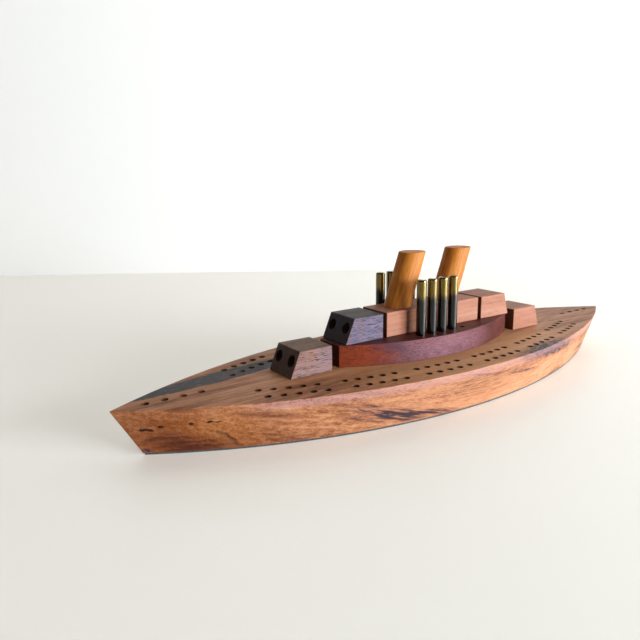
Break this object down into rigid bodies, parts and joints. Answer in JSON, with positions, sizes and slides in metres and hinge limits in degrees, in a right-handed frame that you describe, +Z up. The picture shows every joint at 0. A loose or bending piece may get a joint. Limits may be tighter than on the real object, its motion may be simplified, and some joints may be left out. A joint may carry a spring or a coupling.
{
  "type": "cribbage board",
  "caption": "Ship-shaped wooden cribbage board: a double-ended hull drilled with rows of peg holes, stacked turret and bridge blocks, raked funnels and lift-out metal pegs.",
  "frame": {"origin": "centre of the felt's underside, where the board stands", "axes": "+X towards the stern, +Y to starboard, +Z up; the bow points along -X"},
  "size_m": [0.3372, 0.0994, 0.0747],
  "materials": {
    "hull_wood": "oiled, satin",
    "base_felt": "matt felt",
    "padauk": "oiled, satin",
    "cherry": "oiled, satin",
    "walnut": "oiled, satin",
    "dark_walnut": "oiled, satin",
    "funnel_cherry": "oiled, satin",
    "dowel_wood": "bare",
    "peg_brass": "darkened brass, bright towards the top"
  },
  "bodies": {
    "board": {"hull": "hull_wood", "base_felt": "base_felt", "superstructure_deck": "padauk", "bridge": "cherry", "turret_fore_lower": "walnut", "turret_fore_upper": "dark_walnut", "turret_aft_upper": "cherry", "turret_aft_lower": "cherry", "funnel_fore": "funnel_cherry", "funnel_aft": "funnel_cherry", "deck_dowels": "dowel_wood", "bridge_dowels": "dowel_wood", "turret_dowels": "dowel_wood"},
    "peg_port_1": {"peg_port_1": "peg_brass"},
    "peg_port_2": {"peg_port_2": "peg_brass"},
    "peg_port_3": {"peg_port_3": "peg_brass"},
    "peg_port_4": {"peg_port_4": "peg_brass"},
    "peg_starboard_1": {"peg_starboard_1": "peg_brass"},
    "peg_starboard_2": {"peg_starboard_2": "peg_brass"},
    "peg_starboard_3": {"peg_starboard_3": "peg_brass"},
    "peg_starboard_4": {"peg_starboard_4": "peg_brass"}
  },
  "joints": [
    {"name": "lift_port_1", "type": "slide", "parent": "board", "child": "peg_port_1", "axis": [0, 0, 1], "range_m": [0, 0.012]},
    {"name": "lift_port_2", "type": "slide", "parent": "board", "child": "peg_port_2", "axis": [0, 0, 1], "range_m": [0, 0.012]},
    {"name": "lift_port_3", "type": "slide", "parent": "board", "child": "peg_port_3", "axis": [0, 0, 1], "range_m": [0, 0.012]},
    {"name": "lift_port_4", "type": "slide", "parent": "board", "child": "peg_port_4", "axis": [0, 0, 1], "range_m": [0, 0.012]},
    {"name": "lift_starboard_1", "type": "slide", "parent": "board", "child": "peg_starboard_1", "axis": [0, 0, 1], "range_m": [0, 0.012]},
    {"name": "lift_starboard_2", "type": "slide", "parent": "board", "child": "peg_starboard_2", "axis": [0, 0, 1], "range_m": [0, 0.012]},
    {"name": "lift_starboard_3", "type": "slide", "parent": "board", "child": "peg_starboard_3", "axis": [0, 0, 1], "range_m": [0, 0.012]},
    {"name": "lift_starboard_4", "type": "slide", "parent": "board", "child": "peg_starboard_4", "axis": [0, 0, 1], "range_m": [0, 0.012]}
  ]
}
